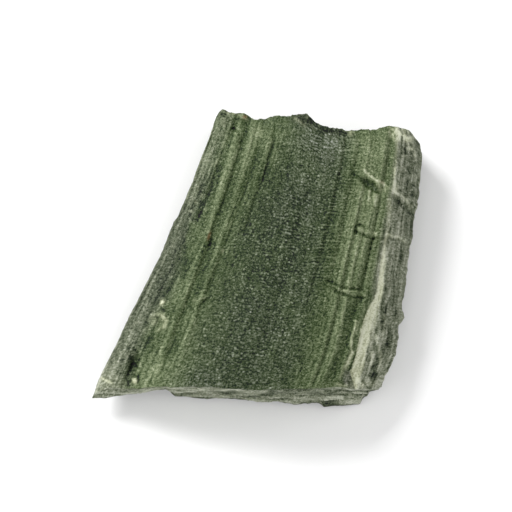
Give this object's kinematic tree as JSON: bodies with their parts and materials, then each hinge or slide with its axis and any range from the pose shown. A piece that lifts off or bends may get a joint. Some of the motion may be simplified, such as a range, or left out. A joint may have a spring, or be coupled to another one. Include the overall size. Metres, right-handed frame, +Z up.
{
  "type": "moldavite tektite",
  "caption": "Slab of natural green impact glass with a fluted, finely pitted upper face, thin bevelled left edge and broken sides; lies flat on its underside.",
  "frame": {"origin": "middle of the box, at the level of the surface that it lies on", "axes": "+Z up from that surface through the fluted face; +X across the flow lines from the thin bevelled edge to the right shoulder; +Y along the flow lines, away from the front face"},
  "size_m": [0.0298, 0.0268, 0.0067],
  "materials": {
    "moldavite_glass": "natural bottle-green glass with a frosted, etched skin: dark olive green where thick, yellow-green and see-through at thin edges and ridges"
  },
  "bodies": {
    "root": {"moldavite": "moldavite_glass"}
  },
  "joints": []
}
